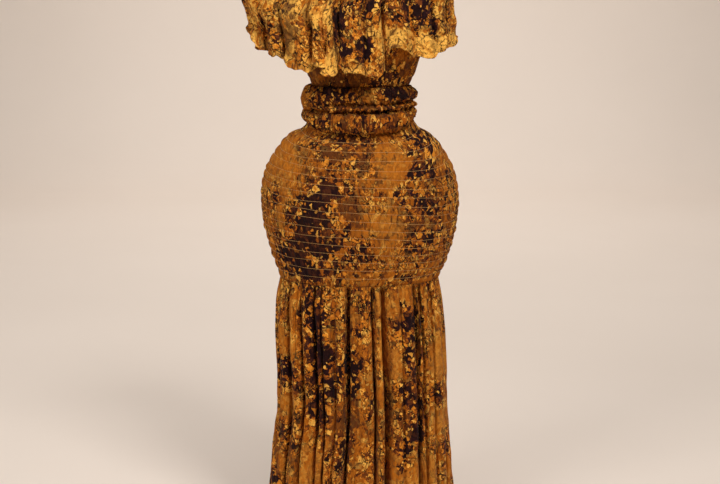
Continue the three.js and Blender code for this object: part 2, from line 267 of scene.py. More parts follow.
dye_and_shade_group, entry, leave = new_group(
    "resist_dye_and_shade",
    {
        "Cloth": "NodeSocketVector",
        "Plum": "NodeSocketFloat",
        "Veil and shade": "NodeSocketFloat",
        "Bright": "NodeSocketFloat",
    },
    {"Color": "NodeSocketColor", "Dark": "NodeSocketFloat"},
)
tree = dye_and_shade_group
cloth, plum_amount, veil_and_shade_amount, bright_amount = (entry[number] for number in range(4))
loose = warp(tree, cloth, 50, 0.008)
ragged = warp(tree, loose, 230, 0.0032)
shard, patch = broken(tree, ragged, SHARDS), broken(tree, ragged, PATCHES)
chip, crumb = broken(tree, ragged, CHIPS), broken(tree, ragged, CRUMBS)
region = noise(tree, loose, 11, 2)
fine = noise(tree, cloth, 260, 3, 0.6)


def dye_depth(middle, luck, weight):
    """How deeply a piece of the pattern took the dye, from the clouds of dye at its middle."""
    clouds = noise(tree, middle, 30, 3, 0.75)
    return sum_of(tree, 0.37 - 0.95 - weight / 2, (plum_amount, 0.44), (clouds, 1.9), (luck, weight))


# whole patches that took the dye more or less deeply, mottled a little
depth = dye_depth(patch.middle, patch.luck, 0.14)
chip_depth = dye_depth(chip.middle, chip.luck, 0.16)
shading = noise(tree, loose, 38, 4, 0.6)
mottled = sum_of(tree, -0.23, (depth, 0.5), (chip_depth, 0.5), (fine, 0.2), (shading, 0.26))
# some of the gold is plain, where the cloth lay flat in the dye, but not in the brightest cloth
kept_gold = between(tree, plum_amount, -0.25, -0.5)
flat_gold = between(tree, noise(tree, loose, 10, 2), 0.53, 0.58)
plain = add(tree, "ShaderNodeMath", {0: kept_gold, 1: flat_gold}, operation="MAXIMUM").outputs[0]
plain = times(tree, plain, between(tree, bright_amount, 0.8, 0.7), between(tree, depth, 0.54, 0.48))
lively = sum_of(tree, 1.0, (plain, -0.78))
mottled = add(tree, "ShaderNodeMix", {0: times(tree, plain, 0.6), 2: mottled, 3: 0.24}).outputs[0]
ramp = add(tree, "ShaderNodeValToRGB", {0: mottled})
ramp.color_ramp.elements.remove(ramp.color_ramp.elements[1])
for number, (position, color) in enumerate(DYE_DEPTHS):
    stop = ramp.color_ramp.elements[0] if number == 0 else ramp.color_ramp.elements.new(position)
    stop.position, stop.color = position, color
dyed = ramp.outputs[0]
# brighter pieces on the gold, where the first resist held
on_gold = times(tree, between(tree, depth, 0.56, 0.5), lively)
undyed = times(tree, plum_amount, bright_amount)
by_chance = sum_of(tree, -0.74, (patch.luck_2, 0.35), (chip.luck_2, 0.46), (region, 0.6))
luck = sum_of(tree, by_chance, (bright_amount, 0.34), (undyed, -0.34))
dyed = blend(tree, times(tree, on_gold, between(tree, luck, 0.12, 0.15), 0.35), dyed, BRIGHT)
dyed = blend(tree, times(tree, on_gold, between(tree, luck, 0.26, 0.29), 0.8), dyed, BRIGHT)
# short thin strokes, dark and light
stretched = vector_math(tree, "MULTIPLY", loose, (1.0, 0.35, 1.0))
stroke = noise(tree, stretched, 230, 2, 0.6)
dyed = blend(tree, times(tree, on_gold, between(tree, stroke, 0.58, 0.61), 0.75), dyed, STROKE)
dyed = blend(tree, times(tree, on_gold, between(tree, stroke, 0.38, 0.33), 0.35), dyed, BRIGHT)
# soft brown veils, partly printed and partly painted shade along the creases and under the flounce
clouds = noise(tree, patch.middle, 20, 3, 0.6)
veil_and_shade = sum_of(tree, -0.75, (veil_and_shade_amount, 0.7), (clouds, 1.5), (chip.luck_2, 0.3), (patch.luck_2, 0.2))
dyed = blend(tree, times(tree, between(tree, veil_and_shade, 0.4, 0.75), 0.85), dyed, BROWN)
# deep in the dark patches the dye took unevenly, and some pieces stayed brown
part_dyed = times(tree, between(tree, depth, 0.60, 0.62), between(tree, chip.luck_3, 0.62, 0.66))
dyed = blend(tree, times(tree, part_dyed, between(tree, region, 0.4, 0.6), 0.75), dyed, BROWN)
# at the edges of the dark patches the resist broke up: chips in a dark net
edge_zone = times(tree, between(tree, depth, 0.50, 0.53), between(tree, depth, 1.05, 0.75))
broken_zone = between(tree, sum_of(tree, 0.0, (region, 1.0), (shard.luck, 0.3)), 0.67, 0.69)
broken_zone = times(tree, broken_zone, lively, 0.9)
busy = add(tree, "ShaderNodeMath", {0: edge_zone, 1: broken_zone}, operation="MAXIMUM").outputs[0]
netted = sum_of(tree, 0.0, (patch.luck_3, 0.6), (chip.luck_3, 0.4))
net = times(tree, busy, between(tree, netted, 0.40, 0.43))
dyed = blend(tree, times(tree, net, 0.9), dyed, DARK_MARK)
for pieces, gap, share in ((patch, 0.05, 0.42), (chip, 0.07, 0.52), (crumb, 0.10, 0.24)):
    resisted = sum_of(tree, share + 0.62, (pieces.luck_2, -1.0), (chip_depth, -1.02))
    shown = between(tree, resisted, 0.0, 0.02)
    whole = between(tree, pieces.edge, gap, gap + 0.06)
    tone = CHIP_TONES[0][1]
    for (least, _), (_, color) in zip(CHIP_TONES, CHIP_TONES[1:]):
        tone = blend(tree, between(tree, pieces.luck_3, least, least + 0.06), tone, color)
    dyed = blend(tree, times(tree, busy, shown, whole), dyed, tone)
# crackle: dye that ran along the cracks between the pieces
for pieces, line, least in ((shard, 0.04, 0.52), (patch, 0.08, 0.56)):
    open_place = sum_of(tree, 0.0, (region, 0.7), (pieces.luck_2, 0.3), (bright_amount, 0.07))
    where = between(tree, open_place, least, least + 0.05)
    crack = times(tree, between(tree, pieces.edge, line, line * 0.4), where, lively, 0.85)
    dyed = blend(tree, crack, dyed, DARK_MARK)
# small dark specks on the gold
specks = between(tree, sum_of(tree, 0.0, (crumb.luck_2, 1.0), (region, 1.0)), 1.46, 1.48)
dyed = blend(tree, times(tree, specks, on_gold, 0.85), dyed, DARK_MARK)
tree.links.new(dyed, leave.inputs["Color"])
tree.links.new(between(tree, depth, 0.6, 0.75), leave.inputs["Dark"])


weave_group, entry, leave = new_group(
    "plain_weave",
    {"Cloth": "NodeSocketVector", "Threads a metre": "NodeSocketFloat"},
    {"Height": "NodeSocketFloat"},
)
tree = weave_group
split = add(tree, "ShaderNodeSeparateXYZ", {0: entry[0]})
waves = []
for axis in (0, 1):
    phase = times(tree, split.outputs[axis], entry[1], math.pi)
    waves.append(add(tree, "ShaderNodeMath", {0: phase}, operation="SINE").outputs[0])
tree.links.new(times(tree, waves[0], waves[1]), leave.inputs["Height"])


crinkle_group, entry, leave = new_group(
    "crinkles",
    {"Cloth": "NodeSocketVector", "Size": "NodeSocketFloat", "Stretch": "NodeSocketVector"},
    {"Height": "NodeSocketFloat"},
)
tree = crinkle_group
moved = warp(tree, entry[0], 60, 0.006)
moved = vector_math(tree, "MULTIPLY", moved, entry[2])
scale = add(tree, "ShaderNodeMath", {0: 1.0, 1: entry[1]}, operation="DIVIDE").outputs[0]


def tilted_faces(place, scale):
    """Crumpled cloth as small flat faces, each tilted its own way, that meet in sharp creases."""
    faces = add(tree, "ShaderNodeTexVoronoi", {"Vector": place, "Scale": scale}).outputs
    offset = vector_math(tree, "SUBTRACT", place, faces["Position"])
    offset = add(tree, "ShaderNodeVectorMath", {0: offset, "Scale": scale}, operation="SCALE")
    inputs = {0: offset.outputs[0], 1: vector_math(tree, "SUBTRACT", faces["Color"], (0.5,) * 3)}
    return add(tree, "ShaderNodeVectorMath", inputs, operation="DOT_PRODUCT").outputs["Value"]


hollows = add(tree, "ShaderNodeTexVoronoi", {"Vector": moved, "Scale": times(tree, scale, 1.3)})
wrinkle = noise(tree, moved, times(tree, scale, 1.6), 3, 0.6)
large, small = tilted_faces(moved, scale), tilted_faces(moved, times(tree, scale, 2.3))
hollow = hollows.outputs["Distance"]
height = sum_of(tree, 0.5, (large, 1.5), (small, 0.6), (hollow, -0.4), (wrinkle, 0.35))
tree.links.new(height, leave.inputs["Height"])


def printed_cotton(name, bright, crinkle_size, crinkle_depth, crinkle_length=1.0):
    """The dyed cotton, with its weave and its small crinkles, sized in metres, and painted shade in its
    brown veils. bright is how much of it is bright, and crinkle_length is how much longer than wide the
    crinkles are."""
    material, tree, shader = blank_material(name)
    cloth = add(tree, "ShaderNodeUVMap", uv_map="cloth").outputs[0]
    dye = add(tree, "ShaderNodeGroup", node_tree=dye_and_shade_group)
    weave = add(tree, "ShaderNodeGroup", node_tree=weave_group)
    weave.inputs["Threads a metre"].default_value = THREADS_A_METRE
    dye.inputs["Bright"].default_value = bright
    for group in (dye, weave):
        tree.links.new(cloth, group.inputs["Cloth"])
    for attribute, socket in (("plum", "Plum"), ("veil_and_shade", "Veil and shade")):
        read = add(tree, "ShaderNodeAttribute", attribute_name=attribute)
        tree.links.new(read.outputs["Fac"], dye.inputs[socket])
    crinkle = add(tree, "ShaderNodeGroup", node_tree=crinkle_group)
    crinkle.inputs["Size"].default_value = crinkle_size
    crinkle.inputs["Stretch"].default_value = (1, 1 / crinkle_length, 1)
    tree.links.new(cloth, crinkle.inputs["Cloth"])
    tree.links.new(dye.outputs["Color"], shader.inputs["Base Color"])
    smoother = {"Value": dye.outputs["Dark"], "To Min": 0.92, "To Max": 0.85}
    rough = add(tree, "ShaderNodeMapRange", smoother)
    tree.links.new(rough.outputs[0], shader.inputs["Roughness"])
    folded = {"Strength": 1.0, "Distance": crinkle_depth, "Height": crinkle.outputs[0]}
    folds = add(tree, "ShaderNodeBump", folded).outputs[0]
    woven = {"Strength": 0.5, "Distance": 0.0001, "Height": weave.outputs[0], "Normal": folds}
    tree.links.new(add(tree, "ShaderNodeBump", woven).outputs[0], shader.inputs["Normal"])
    shader.inputs["Specular IOR Level"].default_value = 0.1
    shader.inputs["Sheen Weight"].default_value = 0.02
    shader.inputs["Sheen Roughness"].default_value = 0.45
    return material


# ---- The skirt ----------------------------------------------------------------------------------
# Two widths of cotton, gathered at the top and sewn to the hip, hang in long uneven folds to a
# narrow hem just off the floor. The side seams run down both sides.
MM = 0.001
CLOTH = 0.9 * MM
SEAM_GAP = 0.05
Section = namedtuple("Section", "at half_width front_depth back_depth shift")
Fold = namedtuple("Fold", "top hem depth")
Cloud = namedtuple("Cloud", "x z half_width half_height strength")
Crease = namedtuple("Crease", "x1 z1 x2 z2 width depth")
Layer = namedtuple("Layer", "height width length")
# random heights along each side of a square, which then repeats
GRID = 97


def table(kind, *rows):
    """A table, each row with the kind's named columns."""
    return [kind(*row) for row in rows]


def ease(share):
    share = np.clip(share, 0, 1)
    return share * share * (3 - 2 * share)


def mix(first, second, share):
    return first + (second - first) * share


def curve(rows, by, place, column):
    """The value of a column at each place, on a smooth curve through the rows."""
    x = np.array([getattr(row, by) for row in rows], float)
    y = np.array([getattr(row, column) for row in rows], float)
    if x[0] > x[-1]:
        x, y = x[::-1], y[::-1]
    slope = np.empty_like(y)
    slope[1:-1] = (y[2:] - y[:-2]) / (x[2:] - x[:-2])
    slope[0] = (y[1] - y[0]) / (x[1] - x[0])
    slope[-1] = (y[-1] - y[-2]) / (x[-1] - x[-2])
    k = np.clip(np.searchsorted(x, place) - 1, 0, len(x) - 2)
    span = x[k + 1] - x[k]
    t = np.clip((place - x[k]) / span, 0, 1)
    return (
        y[k] * (2 * t**3 - 3 * t**2 + 1)
        + slope[k] * span * (t**3 - 2 * t**2 + t)
        + y[k + 1] * (3 * t**2 - 2 * t**3)
        + slope[k + 1] * span * (t**3 - t**2)
    )


def on_section(half_width, front_depth, back_depth, shift, angle, z, out=0):
    """Points round the dress: angle 0 is the front and 90 the wearer's left. All in millimetres."""
    turn = np.radians(angle)
    depth = np.where(np.cos(turn) > 0, front_depth, back_depth)
    x = shift + (half_width + out) * np.sin(turn)
    y = -(depth + out) * np.cos(turn)
    return np.stack(np.broadcast_arrays(x, y, z), axis=-1)


def section_at(rows, place):
    return [curve(rows, "at", place, column) for column in Section._fields[1:]]


def fold_columns(folds, start, end, share, least, apart, pinch, soft):
    """Angles and depths of a panel of folds: a row for each share of the drop, from ridge to ridge.
    Each fold has the least columns, and more of them, apart degrees from each other.
    pinch draws the cloth together at the valleys, so that the ridges stand out round, and soft is
    how much of a valley is a wide soft hollow, where the rest is a narrow sharp one. Each fold leans
    a little to one side, and the columns of points crowd into the valleys. The last result is how
    far each column is from being pinched in a valley, where the cloth can't crumple."""
    top = np.array([fold.top for fold in folds])
    hem = np.array([fold.hem for fold in folds])
    valleys = mix(top, hem, share[:, None])
    angles = np.hstack([2 * start - valleys[:, :1], valleys, 2 * end - valleys[:, -1:]])
    depths = np.array([0] + [fold.depth for fold in folds] + [0])
    number, across = [], []
    for k in range(len(folds) + 1):
        count = least + int((angles[0, k + 1] - angles[0, k]) / apart)
        count += count % 2  # the half folds at the seams end exactly on the seam
        steps = np.arange(count) / count
        steps = steps[steps >= 0.5] if k == 0 else steps
        steps = steps[steps <= 0.5] if k == len(folds) else steps
        number += [k] * len(steps)
        across += list(steps)
    k, t = np.array(number), np.array(across)
    t = t - 0.5 * np.sin(2 * math.pi * t) / (2 * math.pi)
    bent = t - pinch * np.sin(2 * math.pi * t) / (2 * math.pi)
    angle = mix(angles[:, k], angles[:, k + 1], bent)
    lean = np.random.default_rng(int(start) + 100).uniform(-0.5, 0.5, len(folds) + 1)
    lean[[0, -1]] = 0
    t = t ** np.exp(lean[k])
    hollow = np.abs(2 * t - 1)
    slot = 1 - ease(np.minimum(t, 1 - t) * (angles[:, k + 1] - angles[:, k]) / 1.8)
    depth = np.where(t < 0.5, depths[k], depths[k + 1]) * mix(slot, hollow**1.8, soft)
    return angle, depth + 0 * angle, 1 - 0.9 * hollow**4


def bumps(across, down, layer, seed):
    """Smooth unevenness from -1 to 1, in bumps of about the layer's width and length."""
    heights = np.random.default_rng(seed).uniform(-1, 1, (GRID, GRID))
    x, y = across / layer.width, down / layer.length
    i, j = np.floor(x).astype(int), np.floor(y).astype(int)
    share_x, share_y = ease(x - i), ease(y - j)
    corner = lambda a, b: heights[a % GRID, b % GRID]
    upper = mix(corner(i, j), corner(i + 1, j), share_x)
    lower = mix(corner(i, j + 1), corner(i + 1, j + 1), share_x)
    return mix(upper, lower, share_y)


def gathers(across, down, layer, seed):
    """Gathered cloth, about -0.6 to 0.4: round ridges that meet in sharp creases."""
    return np.sqrt(np.abs(bumps(across, down, layer, seed))) - 0.6


def crease_shade(gathered):
    """1 along the creases of gathered cloth, where shade is painted into the colour, and 0 away from
    them.
    """
    return ease(1 - (gathered + 0.6) / 0.35)


def inwards(side):
    """Which way along Y the wearer is: 1 from a front panel and -1 from a back one."""
    return 1 if side == "front" else -1


def fold_in(points, depth, angle, side):
    """Push the folds' valleys in: straight in at the front and back, and more backwards or forwards
    towards the sides, where one fold half covers the next."""
    aside = np.abs(np.sin(np.radians(angle)))
    points[..., 1] += 0.8 * inwards(side) * aside * depth
    return points


def facets(across, down, layer, seed):
    """Crumpled cloth, -0.5 to 0.5: flat three-sided faces that meet in sharp creases."""
    luck = np.random.default_rng(seed)
    heights, turned = luck.uniform(-0.5, 0.5, (GRID, GRID)), luck.uniform(-1, 1, (GRID, GRID)) > 0
    first_bend = Layer(0.4, 2.3 * layer.width, 1.7 * layer.length)
    second_bend = Layer(0.4, 1.9 * layer.width, 2.1 * layer.length)
    x = across / layer.width + first_bend.height * bumps(across, down, first_bend, seed + 50)
    y = down / layer.length + second_bend.height * bumps(across, down, second_bend, seed + 60)
    i, j = np.floor(x).astype(int), np.floor(y).astype(int)
    flip = turned[i % GRID, j % GRID]
    u, v = np.where(flip, 1 - x + i, x - i), y - j
    first, second = np.where(flip, 1, 0), np.where(flip, 0, 1)
    corner = lambda a, b: heights[(i + a) % GRID, (j + b) % GRID]
    above = mix(corner(first, 0), corner(second, 0), u) + v * (corner(first, 1) - corner(first, 0))
    below = mix(corner(second, 1), corner(first, 1), 1 - u)
    below += (1 - v) * (corner(second, 0) - corner(second, 1))
    return np.where(u + v < 1, above, below)


def outward(points):
    """The unit normals of a grid of points, away from the wearer."""
    normal = np.cross(np.gradient(points, axis=0), np.gradient(points, axis=1))
    return normal / np.maximum(np.linalg.norm(normal, axis=2, keepdims=True), 1e-9)


def pressed(points, creases):
    """How far each point is pressed in by the creases, each a soft trough between two ends."""
    total = np.zeros(points.shape[:2])
    x, z = points[..., 0], points[..., 2]
    for c in creases:
        length = math.hypot(c.x2 - c.x1, c.z2 - c.z1)
        along = ((x - c.x1) * (c.x2 - c.x1) + (z - c.z1) * (c.z2 - c.z1)) / length**2
        aside = ((x - c.x1) * (c.z2 - c.z1) - (z - c.z1) * (c.x2 - c.x1)) / length
        ends = ease(along * 4 + 0.5) * ease((1 - along) * 4 + 0.5)
        total -= c.depth * ends * np.exp(-((aside / c.width) ** 2))
    return total


def cloud_strength(points, clouds):
    """The strength at each point from listed clouds: of plum dye, of brown veils, and of the painted
    shadow under the flounce. A negative one keeps it out.
    """
    total = np.zeros(points.shape[:2])
    for c in clouds:
        far = ((points[..., 0] - c.x) / c.half_width) ** 2
        far += ((points[..., 2] - c.z) / c.half_height) ** 2
        total += c.strength * np.exp(-far * 0.8)
    return np.clip(total, -1.0, 1.3)


def cloth_lengths(points, row):
    """Flat cloth coordinates in millimetres: across from one row's length, down along the drop."""
    steps = np.linalg.norm(np.diff(points[row], axis=0), axis=1)
    across = np.concatenate([[0], np.cumsum(steps)])
    drops = np.linalg.norm(np.diff(points, axis=0), axis=2).mean(axis=1)
    down = np.concatenate([[0], np.cumsum(drops)])
    return np.meshgrid(across, down)


def lay_flat(piece, across, down, plum, veil_and_shade):
    """Give a piece its flat cloth coordinates, in metres, and the dye and painted shade at its points.
    """
    mesh = piece.data
    flat = np.stack(np.broadcast_arrays(across, down), axis=-1).reshape(-1, 2)
    corner_points = np.empty(len(mesh.loops), dtype=np.int32)
    mesh.loops.foreach_get("vertex_index", corner_points)
    mesh.uv_layers.new(name="cloth").data.foreach_set("uv", flat[corner_points].ravel())
    for label, values in (("plum", plum), ("veil_and_shade", veil_and_shade)):
        values = values.ravel().astype(np.float32)
        mesh.attributes.new(label, "FLOAT", "POINT").data.foreach_set("value", values)


def cloth_piece(name, points, across, down, material, plum, veil_and_shade, pieces_offset):
    """A panel of thin cloth from a grid of points in millimetres, with its flat cloth coordinates and
    its dye and painted shade. pieces_offset tells one panel's piece of the print from the next one's."""
    rows, columns = points.shape[:2]
    ids = np.arange(rows * columns).reshape(rows, columns)
    quads = np.stack([ids[:-1, :-1], ids[1:, :-1], ids[1:, 1:], ids[:-1, 1:]], axis=-1).reshape(-1, 4)
    piece = mesh_object(name, points.reshape(-1, 3) * MM, quads, material)
    lay_flat(piece, across * MM + pieces_offset, -down * MM, plum, veil_and_shade)
    wall = piece.modifiers.new("wall", "SOLIDIFY")
    wall.thickness = CLOTH
    wall.offset = -1
    bpy.context.view_layer.objects.active = piece
    piece.select_set(True)
    bpy.ops.object.modifier_apply(modifier=wall.name)
    piece.select_set(False)
    return piece


def turned_hem(points, across, down, plum, veil_and_shade, depth):
    """The panel with its hem turned under: three more rows of points, behind the cloth."""
    normal = outward(points)[-1]
    up = points[-2] - points[-1]
    up /= np.linalg.norm(up, axis=1, keepdims=True)
    under = [points[-1] - 1.1 * normal - 0.5 * up]
    under += [points[-1] - 2.2 * normal + turned * up for turned in (depth / 2, depth)]
    longer = lambda grid: np.pad(grid, ((0, 3), (0, 0)), mode="edge")
    deeper = longer(down)
    deeper[-3:] += np.array([[1.5], [depth / 2], [depth]])
    return np.concatenate([points, under]), longer(across), deeper, longer(plum), longer(veil_and_shade)


def thread_piece(name, lines, material, radius):
    """Threads as thin square tubes along lines of points in millimetres, each with its normals."""
    points, faces = [], []
    for line, normal in lines:
        ahead = np.gradient(line, axis=0)
        ahead /= np.linalg.norm(ahead, axis=1, keepdims=True)
        aside = np.cross(ahead, normal)
        start = len(points)
        for corner in range(4):
            turn = math.pi / 4 + corner * math.pi / 2
            corner_line = line + radius * (math.cos(turn) * aside + math.sin(turn) * normal)
            points += list(corner_line * MM)
        count = len(line)
        for corner in range(4):
            here, beside = start + corner * count, start + (corner + 1) % 4 * count
            faces += [(here + i, here + i + 1, beside + i + 1, beside + i) for i in range(count - 1)]
        faces.append(tuple(start + corner * count for corner in range(4)))
        faces.append(tuple(start + (3 - corner) * count + count - 1 for corner in range(4)))
    return mesh_object(name, points, faces, material)


def sewn_line(line, normal, middle, step, start=0):
    """A line of sewing along a row of points, dipping in and out of the cloth, with its normals. It
    stops two points short of the seams."""
    lift = middle + 0.35 * np.sin(np.arange(len(line)) * step + start)
    return line[2:-2] + normal[2:-2] * lift[2:-2, None], normal[2:-2]


def stitched_row(name, points, row, material):
    """A row of machine stitches along one row of a panel's points."""
    stitches = sewn_line(points[row], outward(points)[row], -0.1, 2.4)
    return thread_piece(name, [stitches], material, STITCH)


def twisted_thread(name, dark, light, scale, roughness):
    """A twisted thread, uneven in colour along its length."""
    material, tree, shader = blank_material(name)
    place = add(tree, "ShaderNodeTexCoord").outputs["Object"]
    settings = {"Vector": place, "Scale": scale, "Detail": 2.0}
    twist = add(tree, "ShaderNodeTexNoise", settings).outputs[0]
    tree.links.new(blend(tree, twist, dark, light), shader.inputs["Base Color"])
    shader.inputs["Roughness"].default_value = roughness
    bump = add(tree, "ShaderNodeBump", {"Strength": 0.4, "Distance": 0.0002, "Height": twist})
    tree.links.new(bump.outputs[0], shader.inputs["Normal"])
    return material


STITCH = 0.32
stitch_material = twisted_thread("sewing_thread", rgb(120, 64, 22), rgb(190, 120, 54), 500.0, 0.6)

SKIRT_SECTIONS = table(
    Section,
    (-700, 187, 134, 142, -5), (-760, 198, 144, 153, -5), (-860, 203, 150, 160, -1),
    (-1006, 204, 154, 166, 3), (-1106, 213, 159, 172, 1), (-1215, 222, 165, 179, 0),
    (-1310, 229, 170, 185, 0),
)
PRINT_STEP = 0.37
SKIRT_TOP = -700
SKIRT_HEM = -1310
SKIRT_ROWS = 101
SKIRT_TURNED = 9
SKIRT_COLUMNS_APART = {"front": 0.9, "back": 1.1}
SKIRT_FOLDS = {
    "front": table(
        Fold,
        (-77, -78, 16), (-59, -60, 34), (-45, -44, 46), (-33, -31, 40), (-27, -25, 36), (-18, -20, 12),
        (-8, -14, 48), (9, 9.5, 46), (16.5, 17, 58), (29, 28, 8), (42, 42, 52), (47.5, 47, 30),
        (60, 57, 16), (75, 73, 18),
    ),
    "back": table(
        Fold,
        (107, 110, 20), (121, 126, 26), (137, 139, 28), (151, 155, 22), (168, 166, 30), (181, 183, 20),
        (196, 199, 30), (211, 212, 24), (226, 228, 28), (240, 245, 22), (255, 257, 20),
    ),
}
SKIRT_PLUM = {
    "front": table(
        Cloud,
        (-151, -706, 14, 20, 0.8), (-120, -860, 80, 150, 0.12), (-105, -752, 22, 58, 1.05),
        (-107, -843, 30, 48, 0.75), (-193, -790, 16, 12, 0.7), (-173, -921, 30, 46, 1.0),
        (-104, -963, 20, 84, 0.8), (-74, -898, 28, 60, 0.4), (-26, -886, 26, 24, 1.2),
        (-23, -949, 28, 30, 0.6), (-37, -1063, 20, 24, 0.9), (-51, -1112, 24, 26, 0.8),
        (-91, -1008, 18, 22, 0.6), (-68, -954, 16, 18, 0.6), (-8, -761, 28, 50, 0.5),
        (81, -799, 18, 22, 0.9), (116, -789, 22, 54, 0.9), (114, -895, 24, 54, 0.85),
        (158, -707, 12, 20, 0.9), (133, -1045, 24, 42, 1.1), (78, -1072, 18, 18, 0.8),
        (176, -968, 24, 26, 0.8), (104, -950, 20, 22, 0.8), (133, -992, 16, 20, 0.8),
        (100, -1122, 22, 20, 0.8), (201, -1102, 16, 22, 0.8), (-207, -1195, 26, 32, 0.9),
        (-174, -1057, 20, 22, 0.7), (-165, -860, 16, 24, -0.9), (-175, -990, 22, 28, -1.0),
        (84, -880, 16, 42, -1.0), (183, -885, 26, 46, -1.0), (183, -1035, 26, 34, -0.8),
        (-108, -1140, 24, 56, -0.9), (150, -1150, 30, 50, -0.8), (50, -830, 12, 80, -0.6),
    ),
    "back": table(
        Cloud,
        (-150, -760, 34, 50, 0.8), (-60, -840, 40, 60, 1.0), (-170, -960, 30, 60, 0.9),
        (30, -760, 26, 40, 0.6), (120, -820, 36, 50, 0.9), (60, -980, 30, 70, 1.0),
        (170, -1030, 30, 50, 0.8), (-80, -1120, 40, 50, 0.8), (100, -1220, 40, 40, 0.7),
        (-10, -900, 22, 60, -0.9), (-110, -900, 22, 50, -0.8), (130, -930, 26, 40, -0.9),
        (0, -1160, 40, 60, -0.9), (-170, -1150, 30, 50, -0.8),
    ),
}
SKIRT_CREASES = {
    "front": table(
        Crease,
        (-186, -730, -192, -930, 4, 5), (-152, -712, -158, -880, 4, 6), (-118, -710, -124, -800, 3, 5),
        (-64, -710, -70, -900, 4, 6), (-30, -712, -34, -1000, 4, 6), (28, -710, 31, -820, 3, 5),
        (62, -710, 66, -960, 4, 6), (104, -712, 100, -800, 3, 4), (130, -712, 134, -900, 4, 6),
        (160, -718, 168, -1010, 4, 6), (-130, -960, -118, -1180, 5, 6), (-10, -1000, 4, -1240, 5, 6),
        (120, -980, 126, -1230, 5, 6),
    ),
    "back": table(
        Crease,
        (180, -720, 188, -900, 4, 5), (140, -712, 146, -960, 4, 6), (96, -710, 100, -820, 3, 5),
        (60, -712, 52, -900, 4, 6), (14, -710, 10, -1010, 4, 6), (-40, -712, -44, -860, 3, 5),
        (-84, -710, -92, -940, 4, 6), (-130, -714, -134, -880, 4, 6), (-170, -720, -178, -1000, 4, 5),
        (-60, -1000, -66, -1230, 5, 6), (90, -980, 96, -1220, 5, 6),
    ),
}
SKIRT_VEIL = [Cloud(-40, -1020, 60, 90, 0.5), Cloud(90, -1000, 60, 80, 0.5), Cloud(-180, -1080, 40, 60, 0.6)]
SKIRT_GATHERS = Layer(5.5, 6, 110)
SKIRT_GATHERED_DROP = 70
SKIRT_LONG_CREASES = Layer(3.0, 15, 220)
SKIRT_SWELLS = Layer(2.4, 22, 260)
SKIRT_LONG_FACES = Layer(5.0, 17, 150)
SKIRT_SHORT_FACES = Layer(3.4, 17, 40)
skirt_cotton = printed_cotton(
    "skirt_cotton", bright=0.6, crinkle_size=0.013, crinkle_depth=0.007, crinkle_length=3.0
)


def skirt_panel(side, start, end, seed):
    """One skirt panel: gathers at the top that merge into the long folds."""
    share = np.linspace(0, 1, SKIRT_ROWS) ** 1.15
    z = mix(SKIRT_TOP - 0.3, SKIRT_HEM, share)[:, None]
    folds, apart = SKIRT_FOLDS[side], SKIRT_COLUMNS_APART[side]
    angle, depth, free = fold_columns(folds, start, end, share, 8, apart, pinch=0.25, soft=0.35)
    growth = (mix(0.5, 1.2, ease(share * 5)) * ease(share * 50))[:, None]
    aside = np.abs(np.sin(np.radians(angle)))
    points = on_section(*section_at(SKIRT_SECTIONS, z), angle, z, -depth * growth * (1 - 0.5 * aside))
    points = fold_in(points, depth * growth, angle, side)
    across, down = cloth_lengths(points, row=SKIRT_ROWS * 2 // 3)
    near_seam = np.exp(-((down / SKIRT_GATHERED_DROP) ** 2))
    slant = across + 0.06 * down
    gathered = gathers(across, down, SKIRT_GATHERS, seed)
    long_creases = gathers(slant, down, SKIRT_LONG_CREASES, seed + 4)
    relief = SKIRT_GATHERS.height * near_seam * ease(down / 6) * gathered
    relief += SKIRT_LONG_CREASES.height * ease(down / 50) * long_creases
    relief += SKIRT_SWELLS.height * ease(down / 60) * bumps(across, down, SKIRT_SWELLS, seed + 1)
    long_faces = facets(slant, down, SKIRT_LONG_FACES, seed + 2)
    relief += SKIRT_LONG_FACES.height * ease(down / 50) * long_faces
    short_faces = facets(across + 0.3 * down, down, SKIRT_SHORT_FACES, seed + 3)
    relief += SKIRT_SHORT_FACES.height * ease(down / 40) * short_faces
    relief += pressed(points, SKIRT_CREASES[side])
    edges = np.minimum(across, across.max() - across)
    points = points + outward(points) * (relief * free * ease(edges / 12))[..., None]
    points[..., 1] -= SEAM_GAP * inwards(side)
    plum = cloud_strength(points, SKIRT_PLUM[side])
    # Painted shade along the gathers near the seam and along the long creases, added to the printed
    # brown veils.
    veil_and_shade = cloud_strength(points, SKIRT_VEIL) + 0.9 * near_seam * crease_shade(gathered)
    veil_and_shade += 0.7 * crease_shade(long_creases)
    stitches = stitched_row("skirt_" + side + "_stitches", points, -2, stitch_material)
    points, across, down, plum, veil_and_shade = turned_hem(points, across, down, plum, veil_and_shade, SKIRT_TURNED)
    name = "skirt_" + side + "_cloth"
    piece = cloth_piece(name, points, across, down, skirt_cotton, plum, veil_and_shade, seed * PRINT_STEP)
    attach(stitches, "root")
    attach(piece, "root")
    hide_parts("skirt_" + side)


skirt_panel("front", -90, 90, 3)
skirt_panel("back", 90, 270, 11)

